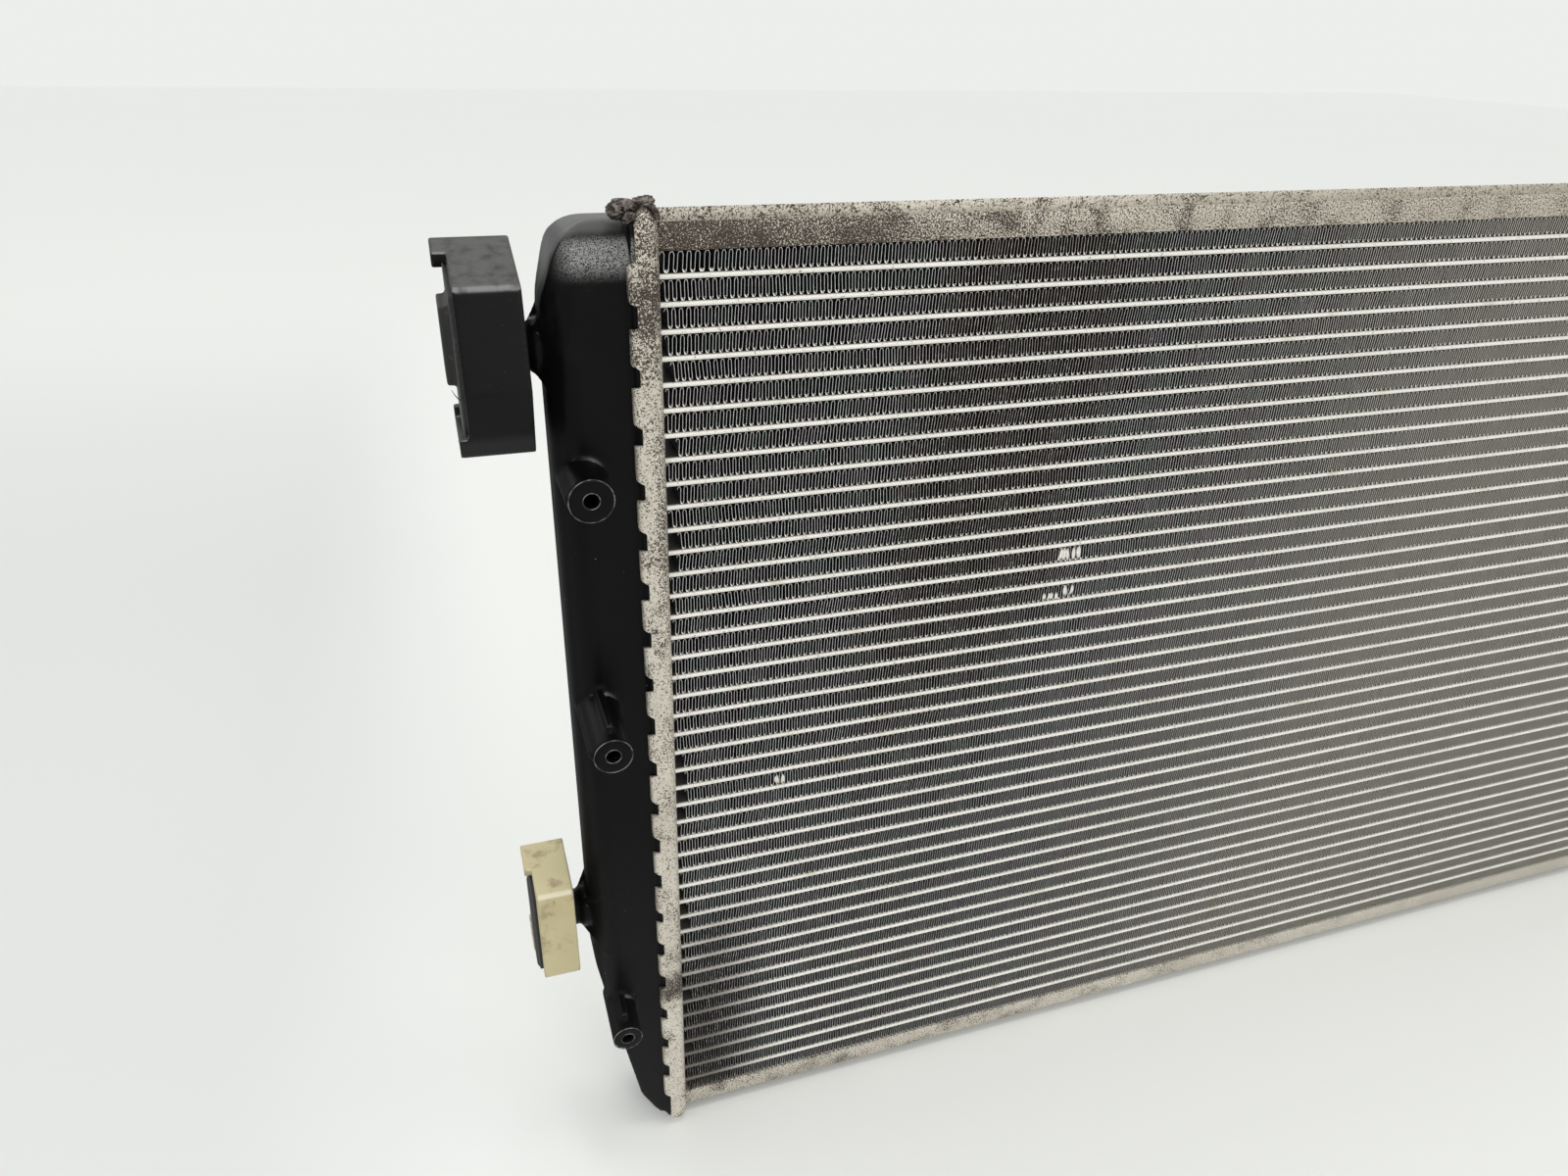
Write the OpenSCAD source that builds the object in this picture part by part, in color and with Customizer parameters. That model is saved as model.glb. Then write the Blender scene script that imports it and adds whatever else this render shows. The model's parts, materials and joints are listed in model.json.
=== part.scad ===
// Car radiator: a crossflow core of flat tubes and folded fins between two
// moulded plastic tanks, carried by four brackets that swivel on the tanks' pins.
// Millimetres. +Z is up, the front face looks towards -Y, +X is to the right
// when the radiator is seen from the front. The origin is the centre of the
// footprint, level with the bottom ends of the header plates.

/* [Core] */
// Width of the core between the two header plates
core_w = 720; // [600:10:800]
// Number of flat tubes
tube_count = 44; // [40:1:46]
// Distance from one tube to the next
tube_pitch = 10; // [9.5:0.5:11]
// Thickness of a flat tube
tube_t = 2; // [1.6:0.2:2.4]
// Depth of a flat tube from front to back
core_d = 32; // [30:1:34]
// Wall of a flat tube
tube_wall = 0.3; // [0.25:0.05:0.4]
// How far the fins stand back from the tubes' front and back edges
fin_setback = 0.5; // [0:0.1:1]
// Sheet thickness of a side plate
plate_t = 1.2; // [1:0.1:1.6]
// Width of a side plate's flange
flange_w = 10; // [8:1:12]

/* [Header plates] */
// Sheet thickness of a header plate
header_t = 1.6; // [1.4:0.1:1.8]
// Height of a header plate's rim above the core's side
rim_w = 9; // [8:0.5:9.5]
// Radius of the pressed edge at the two ends of a header plate
header_end_r = 8; // [5:0.5:9]
// Length of a crimped tab
tab_len = 15; // [12:1:17]
// Distance from one crimped tab to the next
tab_pitch = 22.2; // [20:0.2:24]

/* [Tanks] */
// How far a tank stands out from the core's side
tank_w = 42; // [40:1:46]
// Wall of a tank
tank_wall = 2.5; // [2:0.25:3]
// Radius of a tank's long outer edges
tank_edge_r = 12; // [8:1:13]
// Height at which a tank starts to taper towards its foot
taper_top_z = 123; // [110:1:130]
// Radius of the pilot hole in a screw boss
pilot_r = 2.75; // [2:0.25:3]
// Radius of the bead near a hose neck's end
bead_r = 15; // [13:0.5:15]

/* [Mounting brackets] */
// Radius of a bracket pin
pin_r = 8.5; // [7.5:0.25:9]
// Radial clearance of a pin in its bush
pin_clearance = 0.06; // [0.04:0.01:0.1]
// Distance of the upper pins below the top of the header plates
upper_pin_drop = 51; // [48:1:56]
// Height of the lower pins
lower_pin_z = 152; // [150:1:158]
// Wall of a bracket
bracket_wall = 3.5; // [3:0.25:4]

/* [Drain plug] */
// Radius of the drain plug's shank
drain_r = 5; // [4:0.25:5.5]

/* [Hidden] */
$fn = 64;

// Small gaps between brazed, clipped and pressed pieces
braze_gap = 0.05;
seat_gap = 0.1;

// Heights
end_margin = 25;
header_h = (tube_count - 1) * tube_pitch + 2 * end_margin;
fin_h = tube_pitch - tube_t;
plate_z = end_margin - tube_t / 2 - fin_h;

// Tube ends and slots
tube_reach = 6;
fin_inset_x = 1.5;

// Folded fin strips: square folds, longer than the real fine ones and as heavy
fold_count = 20;
fold_t = 0.39;
fold_run = (core_w - 2 * fin_inset_x - fold_t) / fold_count;
fold_h = fin_h - 2 * braze_gap;

// Header plates. In a side's own frame x runs outboard from the core's side
header_d = core_d + 12;
header_edge_r = 5;
header_corner_r = 7;
foot_top_x = rim_w + 1.5;
foot_bottom_x = header_t + 4;
tab_top_x = foot_top_x + seat_gap + 1.5;
tab_fold_y = core_d / 2 + 2.4;
tab_count = floor((header_h - 40) / tab_pitch) + 1;
first_tab_z = header_h - 19;
seal_t = 2.8;
seal_w = 2.7;
end_tab_w = 10;
end_tab_reach = 4.8;

// Tanks
body_d = core_d + 4;
body_end = 6;
tank_top_r = 16;
tank_top_lean = [8, 28];
shoulder_r = 12;
taper_foot = [24, 26];
rib_t = 2.6;
boss_r = 8.7;
long_boss_r = 8;
small_boss_r = 7.2;
boss_x = 32;
pilot_depth = 16;
// Height and front face of each screw boss, its radius, and whether it has a web on its outer
// side and a rib on its top
bosses = [
    [header_h - 99, -38, boss_r, true, false],
    [276.5, -52, long_boss_r, true, true],
    [96, -38, small_boss_r, false, true]
];
neck_x = 28;
neck_end_y = 52;
neck_r = bead_r - 1;
neck_wall = 2.5;
bead_w = 4;
bead_slope = 1.5;
inlet_z = header_h - 92;
outlet_z = 92;

// Pins and brackets
pin_tip_x = 64;
collar_r = 10.3;
collar_x = tank_w + 3.6;
web_tip = [tank_w - 5.5, 26];
upper_pin_z = header_h - upper_pin_drop;
// Outlines in Y and Z round the pin, and where a bracket starts and ends in x
upper_outline = [[20, 37.5], [-20.5, 26], [-28.5, -9], [-21, -34], [20, -34]];
upper_span = [48.5, 71.5];
lower_outline = [[20, 28.5], [-20, 28.5], [-20, -24], [20, -24]];
lower_span = [50, 67];
bracket_round = 3;

// Drain plug, low on the back of the right-hand tank
drain_x = 22;
drain_z = 54;
drain_boss_r = 8.5;
drain_boss_y = 25;
drain_seal_t = 2;
drain_head_r = 9.5;
drain_head_t = 5;
drain_tail_y = 14;

// ---------------------------------------------------------------- helpers

// Puts a side piece, drawn with x outboard, on the left or the right of the core
module on_left() { translate([-core_w / 2, 0, 0]) mirror([1, 0, 0]) children(); }
module on_right() { translate([core_w / 2, 0, 0]) children(); }

// Extrudes a flat outline drawn in x and z along Y, centred on the plane y = 0
module along_y(d) { rotate([90, 0, 0]) linear_extrude(d, center = true) children(); }

// Extrudes a flat outline drawn in y and z along X, from x0 to x1
module along_x(x0, x1) {
    translate([x0, 0, 0]) rotate([90, 0, 90]) linear_extrude(x1 - x0) children();
}

// A round bar along Y from y0 to y1
module bar_y(x, z, r, y0, y1) {
    translate([x, y0, z]) rotate([-90, 0, 0]) cylinder(r = r, h = y1 - y0);
}

// A round bar along X from x0 to x1
module bar_x(z, r, x0, x1) {
    translate([x0, 0, z]) rotate([0, 90, 0]) cylinder(r = r, h = x1 - x0);
}

// Rectangle with round corners, centred
module round_rect(w, h, r) {
    square([w - 2 * r, h], center = true);
    square([w, h - 2 * r], center = true);
    for (x = [-1, 1], y = [-1, 1])
        translate([x * (w / 2 - r), y * (h / 2 - r)]) circle(r = r);
}

// Flat-sided strip with fully round ends, centred
module stadium(w, h) {
    square([w - h, h], center = true);
    for (x = [-1, 1])
        translate([x * (w - h) / 2, 0]) circle(r = h / 2);
}

// What a rounded corner takes away from a square corner at [x, y]
module corner_waste(x, y, sx, sy, r) {
    translate([x - sx * r, y - sy * r])
        difference() {
            translate([sx > 0 ? 0 : -r - 1, sy > 0 ? 0 : -r - 1]) square(r + 1);
            circle(r = r);
        }
}

function unit(v) = v / norm(v);

// Arc of radius r that rounds the corner b between a and c
function corner_arc(a, b, c, r, steps) =
    let (
        u = unit(a - b),
        w = unit(c - b),
        half = acos(u * w) / 2,
        centre = b + unit(u + w) * (r / sin(half)),
        p = b + u * (r / tan(half)) - centre,
        q = b + w * (r / tan(half)) - centre,
        turn = atan2(p[0] * q[1] - p[1] * q[0], p * q)
    )
    [for (i = [0 : steps])
        let (t = turn * i / steps)
        centre + [p[0] * cos(t) - p[1] * sin(t), p[0] * sin(t) + p[1] * cos(t)]];

// An outline with each of its corners rounded by the radius in radii
function rounded(pts, radii, steps = 6) =
    let (n = len(pts))
    [for (i = [0 : n - 1], p = corner_arc(pts[(i + n - 1) % n], pts[i], pts[(i + 1) % n],
                                          radii[i], steps)) p];

// A convex outline, drawn anticlockwise, moved inwards by d
function shrunk(pts, d) =
    let (n = len(pts))
    [for (i = [0 : n - 1])
        let (
            before = unit(pts[i] - pts[(i + n - 1) % n]),
            after = unit(pts[(i + 1) % n] - pts[i]),
            n0 = [-before[1], before[0]],
            n1 = [-after[1], after[0]]
        )
        pts[i] + (n0 + n1) * (d / (1 + n0 * n1))];

// ---------------------------------------------------------------- core

module flat_tubes() {
    color("gainsboro")
        for (i = [0 : tube_count - 1])
            translate([0, 0, end_margin + i * tube_pitch])
                along_x(-core_w / 2 - tube_reach, core_w / 2 + tube_reach)
                    difference() {
                        stadium(core_d, tube_t);
                        stadium(core_d - 2 * tube_wall, tube_t - 2 * tube_wall);
                    }
}

// Corners along one face of a folded strip: out is half the sheet's thickness on the side where
// the crests stand proud of the leaves, and minus that on the other side
function fold_corners(out) = [
    for (i = [0 : fold_count - 1])
        let (
            turn = i % 2 == 0 ? 1 : -1,
            wide = turn * out,
            z = turn * (fold_h - fold_t) / 2 + out,
            x = (i - fold_count / 2) * fold_run
        )
        each [[x - wide, z], [x + fold_run + wide, z]]
];

function reversed(list) = [for (i = [len(list) - 1 : -1 : 0]) list[i]];

// One strip of thin sheet, folded square up and down about the height z = 0
module fin_strip() {
    end_x = fold_count * fold_run / 2;
    along_y(core_d - 2 * fin_setback)
        polygon(concat(
            [[-end_x - fold_t / 2, -fold_h / 2]],
            fold_corners(fold_t / 2),
            [[end_x - fold_t / 2, fold_h / 2], [end_x + fold_t / 2, fold_h / 2]],
            reversed(fold_corners(-fold_t / 2)),
            [[-end_x + fold_t / 2, -fold_h / 2]]
        ));
}

module fin_strips() {
    color("dimgray")
        for (i = [0 : tube_count])
            translate([0, 0, end_margin + (i - 0.5) * tube_pitch])
                fin_strip();
}

// Channel whose open side looks outwards, with its web on the plane z = 0
module side_plate() {
    translate([-core_w / 2 + seat_gap, -core_d / 2, 0])
        difference() {
            cube([core_w - 2 * seat_gap, core_d, flange_w]);
            translate([-1, plate_t, plate_t])
                cube([core_w + 2, core_d - 2 * plate_t, flange_w]);
        }
}

module top_side_plate() {
    color("tan") translate([0, 0, header_h - plate_z]) side_plate();
}

module bottom_side_plate() {
    color("tan") translate([0, 0, plate_z]) mirror([0, 0, 1]) side_plate();
}

// ---------------------------------------------------------------- header plates

// Pressed tray whose floor lies against the core; inset makes the space inside it
module tray(inset) {
    depth = header_d - 2 * inset;
    height = header_h - 2 * inset;
    top_x = inset > 0 ? rim_w + 1 : rim_w;
    intersection() {
        along_x(inset, top_x)
            translate([0, header_h / 2]) round_rect(depth, height, header_corner_r - inset);
        along_y(header_d)
            difference() {
                translate([inset, inset]) square([top_x - inset, height]);
                corner_waste(inset, header_h - inset, -1, 1, header_end_r - inset);
                corner_waste(inset, inset, -1, -1, header_end_r - inset);
            }
        linear_extrude(header_h)
            difference() {
                translate([inset, -depth / 2]) square([top_x - inset, depth]);
                corner_waste(inset, depth / 2, -1, 1, header_edge_r - inset);
                corner_waste(inset, -depth / 2, -1, -1, header_edge_r - inset);
            }
    }
}

// Tab of the rim, folded over the tank's foot on the +Y side
module long_tab() {
    translate([rim_w - 1, header_d / 2 - header_t, 0])
        cube([tab_top_x - rim_w + 1, header_t, tab_len]);
    translate([foot_top_x + seat_gap, tab_fold_y, 0])
        cube([tab_top_x - foot_top_x - seat_gap, header_d / 2 - tab_fold_y, tab_len]);
}

// Tab at the end of the rim, folded downwards over the tank's foot
module end_tab() {
    translate([rim_w - 1, -end_tab_w / 2, -header_t])
        cube([tab_top_x - rim_w + 1, end_tab_w, header_t]);
    translate([foot_top_x + seat_gap, -end_tab_w / 2, -end_tab_reach])
        cube([tab_top_x - foot_top_x - seat_gap, end_tab_w, end_tab_reach]);
}

module header_plate() {
    difference() {
        tray(0);
        tray(header_t);
        for (i = [0 : tube_count - 1])
            translate([0, 0, end_margin + i * tube_pitch])
                along_x(-1, header_t + 1)
                    stadium(core_d + 2 * braze_gap, tube_t + 2 * braze_gap);
    }
    for (i = [0 : tab_count - 1], s = [0, 1])
        mirror([0, s, 0])
            translate([0, 0, first_tab_z - i * tab_pitch - tab_len]) long_tab();
    for (y = [-8, 8]) {
        translate([0, y, header_h]) end_tab();
        translate([0, y, 0]) mirror([0, 0, 1]) end_tab();
    }
}

module left_header_plate() { color("darkkhaki") on_left() header_plate(); }
module right_header_plate() { color("darkkhaki") on_right() header_plate(); }

// Rubber ring in the bottom of the header plate's channel, under the tank's foot
module header_seal() {
    outer_d = header_d - 2 * (header_t + 1.3);
    along_x(foot_bottom_x - seat_gap - seal_t, foot_bottom_x - seat_gap)
        translate([0, header_h / 2])
            difference() {
                round_rect(outer_d, header_h - 10, 5);
                round_rect(outer_d - 2 * seal_w, header_h - 10 - 2 * seal_w, 2);
            }
}

module left_header_seal() { color("black") on_left() header_seal(); }
module right_header_seal() { color("black") on_right() header_seal(); }

// ---------------------------------------------------------------- tanks

// Outline of the tank's body in x and z, drawn anticlockwise
function tank_outline() = [
    [0, body_end], [14, body_end], taper_foot, [tank_w, taper_top_z],
    [tank_w, header_h - body_end - tank_top_lean[1]],
    [tank_w - tank_top_lean[0], header_h - body_end], [0, header_h - body_end]
];

// The tank's rounded body, or with inset the hollow inside it
module tank_body(inset) {
    outline = shrunk(tank_outline(), inset);
    open_x = inset > 0 ? inset + 1 : 0;
    top_r = tank_top_r - inset;
    intersection() {
        translate([-open_x, 0, 0])
            along_y(header_d)
                polygon([for (p = rounded(outline, [0.1, 8, 12, 60, 30, top_r, 0.1]))
                    p + [p[0] > inset + 1 ? open_x : 0, 0]]);
        linear_extrude(header_h)
            difference() {
                translate([-5, -body_d / 2 + inset])
                    square([tank_w + 5 - inset, body_d - 2 * inset]);
                for (s = [-1, 1])
                    corner_waste(tank_w - inset, s * (body_d / 2 - inset), 1, s,
                                 tank_edge_r - inset);
            }
        along_x(foot_bottom_x + (inset > 0 ? -5 : 1), tank_w + 5)
            difference() {
                translate([-body_d / 2 + inset, body_end + inset])
                    square([body_d - 2 * inset, header_h - 2 * (body_end + inset)]);
                for (s = [-1, 1])
                    corner_waste(s * (body_d / 2 - inset), header_h - body_end - inset, s, 1,
                                 shoulder_r - inset);
            }
    }
}

// Flat foot that the crimped tabs hold down on the seal
module tank_foot() {
    foot_d = header_d - 2 * header_t - 2 * seat_gap;
    foot_h = header_h - 4.4;
    along_x(foot_bottom_x, foot_top_x)
        translate([0, header_h / 2])
            difference() {
                round_rect(foot_d, foot_h, header_corner_r - header_t);
                round_rect(core_d + 1, header_h - 2 * (body_end + tank_wall), shoulder_r - tank_wall);
            }
}

// Screw boss that stands forward of the tank
module screw_boss(z, face_y, r, side_web, top_rib) {
    bar_y(boss_x, z, r, face_y, -tank_edge_r / 2);
    if (side_web)
        translate([boss_x, face_y + 2, z - rib_t / 2])
            cube([tank_w - boss_x - 0.5, -face_y - 2 - tank_edge_r / 2, rib_t]);
    if (top_rib)
        translate([boss_x - rib_t / 2, face_y + 6, z])
            cube([rib_t, -face_y - 6 - tank_edge_r / 2, r + 3]);
}

module pilot_hole(z, face_y) {
    bar_y(boss_x, z, pilot_r, face_y - 1, face_y + pilot_depth);
}

// Pin that carries a bracket, with its collar and four slanting webs
module bracket_pin(z) {
    bar_x(z, pin_r, tank_w - 6, pin_tip_x - 1);
    translate([pin_tip_x - 1, 0, z]) rotate([0, 90, 0])
        cylinder(r1 = pin_r, r2 = pin_r - 1, h = 1);
    bar_x(z, collar_r, tank_w - 6, collar_x);
    for (a = [38, 142, 218, 322])
        translate([0, 0, z]) rotate([a, 0, 0]) translate([0, rib_t / 2, 0])
            rotate([90, 0, 0]) linear_extrude(rib_t)
                polygon([[20, 0], [collar_x, 0], [collar_x, collar_r], web_tip, [20, web_tip[1]]]);
}

module hose_neck(z) {
    bar_y(neck_x, z, neck_r, tank_edge_r / 2, neck_end_y);
    translate([neck_x, neck_end_y - bead_w - 2 * bead_slope - 2, z]) rotate([-90, 0, 0]) {
        cylinder(r1 = neck_r, r2 = bead_r, h = bead_slope);
        translate([0, 0, bead_slope]) cylinder(r = bead_r, h = bead_w);
        translate([0, 0, bead_slope + bead_w]) cylinder(r1 = bead_r, r2 = neck_r, h = bead_slope);
    }
}

module neck_bore(z) {
    bar_y(neck_x, z, neck_r - neck_wall, 0, neck_end_y + 1);
}

// Tank shell. Its children are what it has besides, what stays in its hollow, and its bores
module tank() {
    difference() {
        union() {
            tank_foot();
            tank_body(0);
            for (b = bosses) screw_boss(b[0], b[1], b[2], b[3], b[4]);
            for (z = [upper_pin_z, lower_pin_z]) bracket_pin(z);
            children(0);
        }
        difference() {
            tank_body(tank_wall);
            children(1);
        }
        for (b = bosses) pilot_hole(b[0], b[1]);
        children(2);
    }
}

// Wall across the right-hand tank that sends the coolant out and back through the core
module baffle() {
    translate([0, -header_d, header_h / 2 - tank_wall / 2])
        cube([tank_w, 2 * header_d, tank_wall]);
}

module left_tank() {
    color("black") on_left() tank() {
        union() {}
        union() {}
        union() {}
    }
}

module right_tank() {
    color("black") on_right() tank() {
        union() {
            for (z = [inlet_z, outlet_z]) hose_neck(z);
            bar_y(drain_x, drain_z, drain_boss_r, tank_edge_r / 2, drain_boss_y);
        }
        baffle();
        union() {
            for (z = [inlet_z, outlet_z]) neck_bore(z);
            bar_y(drain_x, drain_z, drain_r + pin_clearance, 0, drain_boss_y + 1);
        }
    }
}

// ---------------------------------------------------------------- brackets

// The bracket's outline moved in by d, as a block from x0 to x1 round the pin
module bracket_block(outline, d, x0, x1) {
    along_x(x0, x1)
        polygon(rounded(shrunk(outline, d), [for (p = outline) max(bracket_round - d / 2, 1)]));
}

// Open-sided shell, with two teeth that stand out past its rim.
// A tooth is [lowest y, highest y, lowest z, highest z, how far it stands out]
module bracket_shell(outline, span, teeth) {
    difference() {
        union() {
            bracket_block(outline, 0, span[0], span[1]);
            for (t = teeth)
                intersection() {
                    bracket_block(outline, 0, span[1] - 1, span[1] + t[4]);
                    translate([0, t[0], t[2]])
                        cube([span[1] + 20, t[1] - t[0], t[3] - t[2]]);
                }
        }
        bracket_block(outline, bracket_wall, span[0] + bracket_wall, span[1] + 20);
        bar_x(0, collar_r - 0.5, span[0] - 1, span[1]);
    }
}

// Rubber block that fills the shell; its plug stands out of the open side
// plug is [lowest y, highest y, lowest z, highest z, how far it stands out]
module bush_block(outline, span, plug) {
    difference() {
        union() {
            bracket_block(outline, bracket_wall + seat_gap,
                          span[0] + bracket_wall + seat_gap, span[1] + 1.5);
            bar_x(0, collar_r - 0.5 - seat_gap, span[0] + 1, span[0] + bracket_wall + 2);
            translate([span[1], plug[0], plug[2]])
                cube([plug[4], plug[1] - plug[0], plug[3] - plug[2]]);
        }
        bar_x(0, pin_r + pin_clearance, span[0] - 1, pin_tip_x + 1);
    }
}

upper_teeth = [[5, 21, 26, 40, 5], [-30, 21, -35, -26, 3.5]];
lower_teeth = [[0, 21, 22, 29, 3.3], [0, 21, -25, -18, 3]];
upper_plug = [-12, 10, -9.5, 18.5, 5];
lower_plug = [-14, 4, -20, 21.5, 2.6];

module upper_bracket() {
    translate([0, 0, upper_pin_z]) bracket_shell(upper_outline, upper_span, upper_teeth);
}

module upper_bush() {
    translate([0, 0, upper_pin_z]) bush_block(upper_outline, upper_span, upper_plug);
}

module lower_bracket() {
    translate([0, 0, lower_pin_z]) bracket_shell(lower_outline, lower_span, lower_teeth);
}

module lower_bush() {
    translate([0, 0, lower_pin_z]) bush_block(lower_outline, lower_span, lower_plug);
}

module upper_left_bracket() { color("dimgray") on_left() upper_bracket(); }
module upper_left_bush() { color("black") on_left() upper_bush(); }
module lower_left_bracket() { color("khaki") on_left() lower_bracket(); }
module lower_left_bush() { color("black") on_left() lower_bush(); }
module upper_right_bracket() { color("dimgray") on_right() upper_bracket(); }
module upper_right_bush() { color("black") on_right() upper_bush(); }
module lower_right_bracket() { color("khaki") on_right() lower_bracket(); }
module lower_right_bush() { color("black") on_right() lower_bush(); }

// ---------------------------------------------------------------- drain

// Plug screwed into the back of the right-hand tank, with a slotted wing head
module drain_plug() {
    head_y = drain_boss_y + drain_seal_t + 3 * seat_gap;
    color("black") on_right() {
        bar_y(drain_x, drain_z, drain_r, drain_tail_y, head_y + 1);
        bar_y(drain_x, drain_z, drain_head_r, head_y, head_y + drain_head_t);
        translate([drain_x - drain_head_r + 1, head_y + 1, drain_z - rib_t / 2])
            cube([2 * drain_head_r - 2, drain_head_t + 7, rib_t]);
    }
}

// Flat rubber ring under the plug's head
module drain_seal() {
    color("dimgray") on_right()
        difference() {
            bar_y(drain_x, drain_z, drain_head_r - 1, drain_boss_y + seat_gap,
                  drain_boss_y + seat_gap + drain_seal_t);
            bar_y(drain_x, drain_z, drain_r + seat_gap, drain_boss_y - 1,
                  drain_boss_y + drain_seal_t + 1);
        }
}

// ---------------------------------------------------------------- nodes

flat_tubes();
fin_strips();
top_side_plate();
bottom_side_plate();
left_header_plate();
right_header_plate();
left_header_seal();
right_header_seal();
left_tank();
right_tank();
upper_left_bracket();
upper_left_bush();
lower_left_bracket();
lower_left_bush();
upper_right_bracket();
upper_right_bush();
lower_right_bracket();
lower_right_bush();
drain_plug();
drain_seal();
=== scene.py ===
import json
import math
import random

import bmesh
import bpy
import numpy as np
from mathutils import Matrix, Vector, noise


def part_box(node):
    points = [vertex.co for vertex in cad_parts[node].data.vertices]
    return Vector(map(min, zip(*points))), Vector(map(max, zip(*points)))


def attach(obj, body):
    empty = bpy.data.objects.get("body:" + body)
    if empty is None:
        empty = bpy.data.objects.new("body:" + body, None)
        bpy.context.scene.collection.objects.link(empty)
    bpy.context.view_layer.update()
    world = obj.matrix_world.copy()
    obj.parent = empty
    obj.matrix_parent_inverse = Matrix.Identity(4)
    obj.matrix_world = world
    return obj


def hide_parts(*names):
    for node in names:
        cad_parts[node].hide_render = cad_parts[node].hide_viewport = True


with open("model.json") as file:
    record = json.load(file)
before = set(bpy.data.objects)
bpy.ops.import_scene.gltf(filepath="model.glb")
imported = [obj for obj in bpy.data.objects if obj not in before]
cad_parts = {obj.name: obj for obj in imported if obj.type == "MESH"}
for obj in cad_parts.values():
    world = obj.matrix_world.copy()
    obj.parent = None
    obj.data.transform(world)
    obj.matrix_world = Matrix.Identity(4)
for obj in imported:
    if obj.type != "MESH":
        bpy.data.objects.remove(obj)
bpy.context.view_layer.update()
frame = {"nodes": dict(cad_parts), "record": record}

MM = 0.001
RADIATOR = "radiator"

# Sizes that the frame gives
TUBES_LOW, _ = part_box("flat_tubes")
FINS_LOW, FINS_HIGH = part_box("fin_strips")
HEADER_LOW, HEADER_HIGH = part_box("left_header_plate")
CORE_SIDE = -HEADER_HIGH[0]
TUBE_COUNT = 44
TUBE_PITCH = 10 * MM
TUBE_T = 2 * MM
FIRST_TUBE = TUBES_LOW[2] + TUBE_T / 2
FIN_H = TUBE_PITCH - TUBE_T - 0.1 * MM

# ------------------------------------------------------------------ shader nodes


class Graph:
    """A material and short names for the nodes that paint it."""

    def __init__(self, name):
        self.material = bpy.data.materials.new(name)
        self.material.use_nodes = True
        self.tree = self.material.node_tree
        self.shader = self.tree.nodes["Principled BSDF"]
        coords = self.node("ShaderNodeTexCoord")
        self.place = coords.outputs["Object"]
        self.x, self.y, self.z = self.split(self.place)
        self.face_x, self.face_y, self.face_z = self.split(coords.outputs["Normal"])

    def node(self, kind, **settings):
        made = self.tree.nodes.new(kind)
        for key, value in settings.items():
            setattr(made, key, value)
        return made

    def split(self, vector):
        """The x, y and z of a vector."""
        made = self.node("ShaderNodeSeparateXYZ")
        self.link(vector, made.inputs[0])
        return made.outputs

    def link(self, value, socket):
        """Feeds a socket from another node, or with a plain colour or number."""
        if isinstance(value, bpy.types.NodeSocket):
            self.tree.links.new(value, socket)
        elif isinstance(value, tuple) and len(value) == 3 and socket.type == "RGBA":
            socket.default_value = (*value, 1)
        else:
            socket.default_value = value

    def maths(self, operation, a, b=0.0, clamp=False):
        made = self.node("ShaderNodeMath", operation=operation, use_clamp=clamp)
        self.link(a, made.inputs[0])
        self.link(b, made.inputs[1])
        return made.outputs[0]

    def plus(self, a, b):
        return self.maths("ADD", a, b)

    def minus(self, a, b):
        return self.maths("SUBTRACT", a, b)

    def times(self, a, b, clamp=False):
        return self.maths("MULTIPLY", a, b, clamp)

    def size_of(self, value):
        """The value without its sign."""
        return self.maths("ABSOLUTE", value)

    def noise(self, scale, detail=2.0, rough=0.5, stretch=(1, 1, 1), shift=0.0):
        at = self.node("ShaderNodeMapping")
        self.link(self.place, at.inputs["Vector"])
        at.inputs["Scale"].default_value = stretch
        at.inputs["Location"].default_value = (shift, shift, shift)
        made = self.node("ShaderNodeTexNoise")
        self.link(at.outputs[0], made.inputs["Vector"])
        made.inputs["Scale"].default_value = scale
        made.inputs["Detail"].default_value = detail
        made.inputs["Roughness"].default_value = rough
        return made.outputs[0]

    def dots(self, scale, radius, soft=0.06):
        """1 inside small round specks, one per cell of a grid with scale cells to the metre."""
        made = self.node("ShaderNodeTexVoronoi")
        self.link(self.place, made.inputs["Vector"])
        made.inputs["Scale"].default_value = scale
        return self.band(made.outputs["Distance"], radius + soft, radius)

    def band(self, value, low, high):
        """0 where value is at low, 1 where it is at high, smooth in between."""
        made = self.node("ShaderNodeMapRange", interpolation_type="SMOOTHSTEP")
        self.link(value, made.inputs["Value"])
        made.inputs["From Min"].default_value = low
        made.inputs["From Max"].default_value = high
        return made.outputs[0]

    def mix(self, share, a, b):
        """Colour a where share is 0, colour b where it is 1."""
        made = self.node("ShaderNodeMix", data_type="RGBA", blend_type="MIX")
        self.link(share, made.inputs[0])
        self.link(a, made.inputs[6])
        self.link(b, made.inputs[7])
        return made.outputs[2]

    def cover(self, under, mask, share, over):
        """Lays one colour over another where mask is 1, as thickly as share says."""
        return self.mix(self.times(mask, share), under, over)

    def bump(self, height, strength, distance, under=None):
        """Surface relief from a height, on top of the relief under it."""
        made = self.node("ShaderNodeBump")
        made.inputs["Strength"].default_value = strength
        made.inputs["Distance"].default_value = distance
        self.link(height, made.inputs["Height"])
        if under is not None:
            self.link(under, made.inputs["Normal"])
        return made.outputs[0]

    def finish(self, colour, roughness, metallic=0.0, normal=None, specular=0.5):
        """Feeds the shader and gives back the material."""
        self.link(colour, self.shader.inputs["Base Color"])
        self.link(roughness, self.shader.inputs["Roughness"])
        self.shader.inputs["Metallic"].default_value = metallic
        self.shader.inputs["Specular IOR Level"].default_value = specular
        if normal is not None:
            self.link(normal, self.shader.inputs["Normal"])
        return self.material


# ------------------------------------------------------------------ materials

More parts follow.
